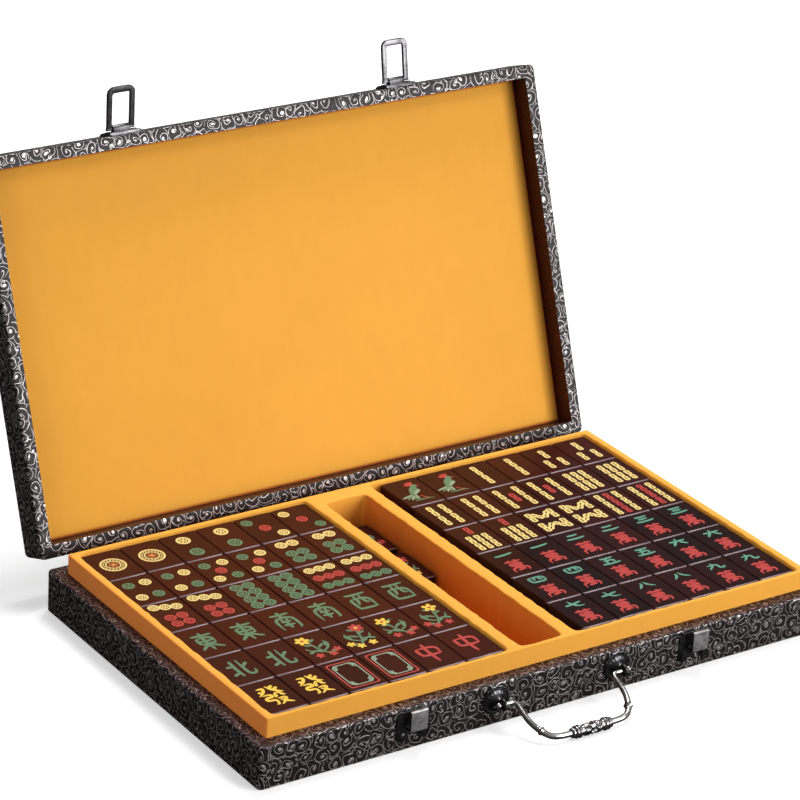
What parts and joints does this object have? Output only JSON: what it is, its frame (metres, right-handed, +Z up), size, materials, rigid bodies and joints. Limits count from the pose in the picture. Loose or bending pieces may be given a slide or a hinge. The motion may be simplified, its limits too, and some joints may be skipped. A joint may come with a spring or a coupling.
{
  "type": "mahjong case",
  "caption": "Shallow hinged mahjong case with a bail handle, loop latches and an orange suede tray that holds game tiles in two layers.",
  "frame": {"origin": "on the surface the case stands on, under the middle of its outline with the lid open and the handle lying forward", "axes": "+X to the right along the front, +Y to the back where the hinges are, +Z up"},
  "size_m": [0.43, 0.4176, 0.3041],
  "materials": {
    "embossed_leatherette": "embossed leatherette with a pewter scroll pattern",
    "wood_board": "raw board",
    "under_cloth": "matt cloth",
    "suede_lining": "napped suede over foam",
    "tile_melamine": "polished",
    "pewter_zinc": "antique pewter plating",
    "hinge_steel": "dark plated"
  },
  "bodies": {
    "base": {"base_bottom_board": "wood_board", "base_cover": "embossed_leatherette", "base_hinge_leaf_left": "hinge_steel", "base_hinge_leaf_right": "hinge_steel", "base_hinge_screws": "hinge_steel", "base_under_sheet": "under_cloth", "base_wall_back": "wood_board", "base_wall_front": "wood_board", "base_wall_left": "wood_board", "base_wall_right": "wood_board", "catch_left": "pewter_zinc", "catch_right": "pewter_zinc", "catch_rivets": "pewter_zinc", "handle_post_left": "pewter_zinc", "handle_post_nuts": "pewter_zinc", "handle_post_right": "pewter_zinc", "hinge_pins": "hinge_steel", "tray_divider_left": "suede_lining", "tray_divider_right": "suede_lining", "tray_floor": "suede_lining", "tray_slot_block": "suede_lining", "tray_wall_back": "suede_lining", "tray_wall_front": "suede_lining", "tray_wall_left": "suede_lining", "tray_wall_right": "suede_lining"},
    "lid": {"latch_plate_left": "pewter_zinc", "latch_plate_right": "pewter_zinc", "latch_plate_rivets": "pewter_zinc", "lid_cover": "embossed_leatherette", "lid_hinge_leaf_left": "hinge_steel", "lid_hinge_leaf_right": "hinge_steel", "lid_hinge_screws": "hinge_steel", "lid_lining": "suede_lining", "lid_top_board": "wood_board", "lid_wall_back": "wood_board", "lid_wall_front": "wood_board", "lid_wall_left": "wood_board", "lid_wall_right": "wood_board"},
    "latch_loop_left": {"latch_loop_left": "pewter_zinc"},
    "latch_loop_right": {"latch_loop_right": "pewter_zinc"},
    "handle": {"handle_bail": "pewter_zinc", "handle_grip": "pewter_zinc"},
    "tile_block_left": {"tiles_left_lower": "tile_melamine"},
    "tile_block_right": {"tiles_right_lower": "tile_melamine"},
    "spare_tiles": {"spare_tiles": "tile_melamine"},
    "tiles_left_upper_row_1": {"tiles_left_upper_row_1": "tile_melamine"},
    "tiles_left_upper_row_2": {"tiles_left_upper_row_2": "tile_melamine"},
    "tiles_left_upper_row_3": {"tiles_left_upper_row_3": "tile_melamine"},
    "tiles_left_upper_row_4": {"tiles_left_upper_row_4": "tile_melamine"},
    "tiles_left_upper_row_5": {"tiles_left_upper_row_5": "tile_melamine"},
    "tiles_left_upper_row_6": {"tiles_left_upper_row_6": "tile_melamine"},
    "tiles_right_upper_row_1": {"tiles_right_upper_row_1": "tile_melamine"},
    "tiles_right_upper_row_2": {"tiles_right_upper_row_2": "tile_melamine"},
    "tiles_right_upper_row_3": {"tiles_right_upper_row_3": "tile_melamine"},
    "tiles_right_upper_row_4": {"tiles_right_upper_row_4": "tile_melamine"},
    "tiles_right_upper_row_5": {"tiles_right_upper_row_5": "tile_melamine"},
    "tiles_right_upper_row_6": {"tiles_right_upper_row_6": "tile_melamine"}
  },
  "joints": [
    {"name": "lid_hinge", "type": "hinge", "parent": "base", "child": "lid", "pos_m": [0, 0.09647, 0.02815], "axis": [-1, 0, 0], "range_deg": [-110, 0]},
    {"name": "left_loop_swing", "type": "hinge", "parent": "lid", "child": "latch_loop_left", "pos_m": [-0.107, 0.1984, 0.27561], "axis": [-1, 0, 0], "range_deg": [-70, 108]},
    {"name": "right_loop_swing", "type": "hinge", "parent": "lid", "child": "latch_loop_right", "pos_m": [0.107, 0.1984, 0.27561], "axis": [-1, 0, 0], "range_deg": [-80, 98]},
    {"name": "handle_swing", "type": "hinge", "parent": "base", "child": "handle", "pos_m": [0, -0.17473, 0.0178], "axis": [-1, 0, 0], "range_deg": [-65, 114]},
    {"name": "left_block_lift", "type": "slide", "parent": "base", "child": "tile_block_left", "axis": [0, 0, 1], "range_m": [0, 0.04]},
    {"name": "right_block_lift", "type": "slide", "parent": "base", "child": "tile_block_right", "axis": [0, 0, 1], "range_m": [0, 0.04]},
    {"name": "spare_tiles_lift", "type": "slide", "parent": "base", "child": "spare_tiles", "axis": [0, 0, 1], "range_m": [0, 0.04]},
    {"name": "left_upper_row_1_lift", "type": "slide", "parent": "tile_block_left", "child": "tiles_left_upper_row_1", "axis": [0, 0, 1], "range_m": [0, 0.022]},
    {"name": "left_upper_row_2_lift", "type": "slide", "parent": "tile_block_left", "child": "tiles_left_upper_row_2", "axis": [0, 0, 1], "range_m": [0, 0.022]},
    {"name": "left_upper_row_3_lift", "type": "slide", "parent": "tile_block_left", "child": "tiles_left_upper_row_3", "axis": [0, 0, 1], "range_m": [0, 0.022]},
    {"name": "left_upper_row_4_lift", "type": "slide", "parent": "tile_block_left", "child": "tiles_left_upper_row_4", "axis": [0, 0, 1], "range_m": [0, 0.022]},
    {"name": "left_upper_row_5_lift", "type": "slide", "parent": "tile_block_left", "child": "tiles_left_upper_row_5", "axis": [0, 0, 1], "range_m": [0, 0.022]},
    {"name": "left_upper_row_6_lift", "type": "slide", "parent": "tile_block_left", "child": "tiles_left_upper_row_6", "axis": [0, 0, 1], "range_m": [0, 0.022]},
    {"name": "right_upper_row_1_lift", "type": "slide", "parent": "tile_block_right", "child": "tiles_right_upper_row_1", "axis": [0, 0, 1], "range_m": [0, 0.022]},
    {"name": "right_upper_row_2_lift", "type": "slide", "parent": "tile_block_right", "child": "tiles_right_upper_row_2", "axis": [0, 0, 1], "range_m": [0, 0.022]},
    {"name": "right_upper_row_3_lift", "type": "slide", "parent": "tile_block_right", "child": "tiles_right_upper_row_3", "axis": [0, 0, 1], "range_m": [0, 0.022]},
    {"name": "right_upper_row_4_lift", "type": "slide", "parent": "tile_block_right", "child": "tiles_right_upper_row_4", "axis": [0, 0, 1], "range_m": [0, 0.022]},
    {"name": "right_upper_row_5_lift", "type": "slide", "parent": "tile_block_right", "child": "tiles_right_upper_row_5", "axis": [0, 0, 1], "range_m": [0, 0.022]},
    {"name": "right_upper_row_6_lift", "type": "slide", "parent": "tile_block_right", "child": "tiles_right_upper_row_6", "axis": [0, 0, 1], "range_m": [0, 0.022]}
  ]
}
